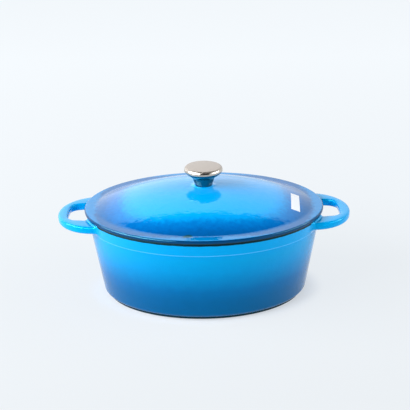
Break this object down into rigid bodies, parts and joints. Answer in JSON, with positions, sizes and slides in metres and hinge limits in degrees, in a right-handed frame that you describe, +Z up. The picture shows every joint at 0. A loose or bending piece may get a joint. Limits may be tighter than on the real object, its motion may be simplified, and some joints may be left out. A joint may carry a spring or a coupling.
{
  "type": "oval casserole with lid",
  "caption": "Oval enamelled cast-iron casserole with a domed lid, cast loop handles and a steel knob, for slow cooking on the hob or in the oven.",
  "frame": {"origin": "centre of the foot ring on the table, under the middle of the knob", "axes": "+X along the pot from handle to handle, +Y across it to the back, +Z up"},
  "size_m": [0.3628, 0.231, 0.1636],
  "materials": {
    "pot_enamel": "gloss",
    "lid_enamel": "gloss",
    "satin_steel": "satin",
    "polished_steel": "polished",
    "plain_steel": "satin",
    "label_paper": "satin"
  },
  "bodies": {
    "pot": {"pot": "pot_enamel"},
    "lid": {"lid": "lid_enamel", "knob_cap": "satin_steel", "knob_stem": "polished_steel", "knob_bush": "plain_steel", "knob_screw": "plain_steel", "flat_washer": "plain_steel", "spring_washer": "plain_steel"}
  },
  "joints": [
    {"name": "lid_lift", "type": "slide", "parent": "pot", "child": "lid", "axis": [0, 0, 1], "range_m": [0, 0.15]}
  ]
}
